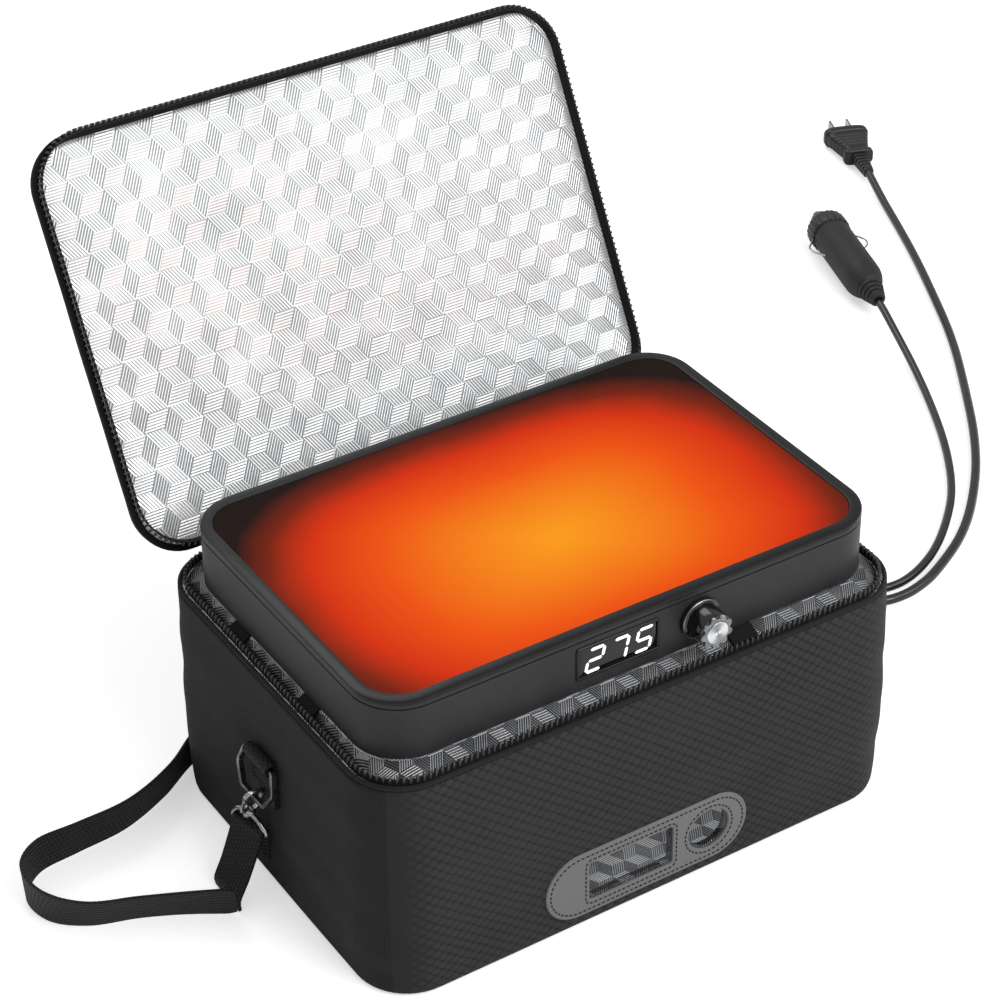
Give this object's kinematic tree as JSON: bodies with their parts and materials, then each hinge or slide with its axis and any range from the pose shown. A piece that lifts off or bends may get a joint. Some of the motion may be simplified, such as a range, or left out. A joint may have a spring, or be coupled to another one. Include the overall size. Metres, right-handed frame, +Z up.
{
  "type": "portable food warmer",
  "caption": "Soft insulated bag with a hinged zip lid and a boxed electric heating unit with display and knob, a shoulder strap, a mains cord and a car cord.",
  "frame": {"origin": "centre of the bag's underside", "axes": "+Z up, front with display and knob faces -Y, cords leave at +X"},
  "size_m": [0.8546, 0.5976, 0.321],
  "materials": {
    "bag_fabric": "woven polyester, smooth dark grey",
    "front_weave": "polyester with a raised diamond weave, charcoal",
    "grey_patch": "coated grey fabric with black stitching",
    "foil": "aluminised insulating film, embossed",
    "foam": "closed-cell polyethylene foam",
    "stiffener": "black polypropylene board",
    "webbing": "ribbed nylon webbing, black",
    "piping": "folded fabric piping",
    "zipper_black": "zipper tape, black",
    "zipper_teeth": "moulded nylon teeth",
    "film": "clear PVC window film",
    "housing": "fine satin moulded shell, dark grey",
    "bezel": "black glossy trim",
    "plate": "dark anodised heating plate, hot",
    "element": "etched foil element on mica",
    "insulation": "glass wool pad",
    "circuit": "printed circuit board",
    "lens": "smoked display window",
    "digits": "lit digits on black",
    "knob_black": "polished black knob",
    "star_grey": "grey star ring",
    "spun_metal": "spun bright disc",
    "steel": "nickel plated steel",
    "gunmetal": "gunmetal plated zinc",
    "cord_black": "glossy PVC sheath",
    "plug_black": "moulded PVC plug",
    "feet": "black silicone rubber"
  },
  "bodies": {
    "bag": {"outer_fabric": "bag_fabric", "front_fabric": "front_weave", "wall_foam": "foam", "front_foam": "foam", "base_board": "stiffener", "base_foam": "foam", "foil_liner": "foil", "front_foil": "foil", "rim_piping": "piping", "bag_zipper_tape": "zipper_black", "bag_zipper_teeth": "zipper_teeth", "front_patch": "grey_patch", "window_film": "film", "support_tabs": "webbing", "hinge_strip": "bag_fabric", "ring_tabs": "webbing", "d_rings": "steel", "shoulder_strap": "webbing", "cord_port": "plug_black", "ac_cord": "cord_black", "car_cord": "cord_black", "ac_plug_body": "plug_black", "ac_plug_blades": "steel", "car_plug_body": "plug_black", "car_plug_nut": "plug_black", "car_plug_contacts": "steel", "inner_lead": "cord_black"},
    "heater": {"heater_housing": "housing", "bottom_cover": "housing", "housing_screws": "steel", "rubber_feet": "feet", "top_bezel": "bezel", "heating_plate": "plate", "heating_element": "element", "insulation_pad": "insulation", "temperature_sensor": "steel", "display_bezel": "bezel", "display_lens": "lens", "display_module": "digits", "control_board": "circuit", "potentiometer": "element"},
    "knob": {"knob_body": "knob_black", "knob_star": "star_grey", "knob_cap": "spun_metal"},
    "lid": {"lid_cover": "bag_fabric", "lid_foam": "foam", "lid_foil": "foil", "lid_binding": "zipper_black", "lid_zipper_tape": "zipper_black", "lid_zipper_teeth": "zipper_teeth"},
    "slider": {"zipper_slider": "gunmetal"},
    "puller": {"zipper_puller": "gunmetal"},
    "left_ring_body": {"left_ring": "gunmetal"},
    "left_hook": {"left_snap_hook": "steel"},
    "left_gate": {"left_hook_gate": "steel"},
    "right_ring_body": {"right_ring": "gunmetal"},
    "right_hook": {"right_snap_hook": "steel"},
    "right_gate": {"right_hook_gate": "steel"}
  },
  "joints": [
    {"name": "lid_hinge", "type": "hinge", "parent": "bag", "child": "lid", "pos_m": [0, 0.1105, 0.133], "axis": [1, 0, 0], "range_deg": [0, 119], "deforming": ["hinge_strip"]},
    {"name": "heater_lift", "type": "slide", "parent": "bag", "child": "heater", "axis": [0, 0, 1], "range_m": [-0.1243, 0], "deforming": ["front_fabric", "front_foam", "front_foil", "front_patch", "window_film", "rim_piping", "bag_zipper_tape", "bag_zipper_teeth", "support_tabs", "inner_lead"]},
    {"name": "slider_run", "type": "slide", "parent": "bag", "child": "slider", "axis": [0, -1, 0], "range_m": [0, 0.144]},
    {"name": "puller_swing", "type": "hinge", "parent": "slider", "child": "puller", "pos_m": [0.15695, 0.072, 0.1342], "axis": [0, -1, 0], "range_deg": [0, 90]},
    {"name": "knob_turn", "type": "hinge", "parent": "heater", "child": "knob", "pos_m": [0.033, -0.096, 0.1521], "axis": [0, -1, 0], "range_deg": [-135, 135]},
    {"name": "left_ring_swing", "type": "hinge", "parent": "bag", "child": "left_ring_body", "pos_m": [-0.1592, 0, 0.084], "axis": [0, 1, 0], "range_deg": [-3, 0]},
    {"name": "left_hook_swivel", "type": "hinge", "parent": "bag", "child": "left_hook", "pos_m": [-0.16367, 0, 0.06297], "axis": [0, -0.3746, 0.9272], "range_deg": [-6, 6]},
    {"name": "left_gate_press", "type": "hinge", "parent": "left_hook", "child": "left_gate", "pos_m": [-0.16847, 0.00405, 0.05296], "axis": [0, 0.9272, 0.3746], "range_deg": [0, 25], "stiffness_Nm_per_rad": 0.02, "springref_deg": -11.46},
    {"name": "right_ring_swing", "type": "hinge", "parent": "bag", "child": "right_ring_body", "pos_m": [0.1592, 0, 0.084], "axis": [0, -1, 0], "range_deg": [-3, 0]},
    {"name": "right_hook_swivel", "type": "hinge", "parent": "bag", "child": "right_hook", "pos_m": [0.16367, 0, 0.06297], "axis": [0, -0.3746, 0.9272], "range_deg": [-6, 6]},
    {"name": "right_gate_press", "type": "hinge", "parent": "right_hook", "child": "right_gate", "pos_m": [0.16847, 0.00405, 0.05296], "axis": [0, -0.9272, -0.3746], "range_deg": [0, 25], "stiffness_Nm_per_rad": 0.02, "springref_deg": -11.46}
  ],
  "couplings": [
    {"joint": "heater_lift", "follows": "lid_hinge", "m_per_rad": -0.0598}
  ]
}
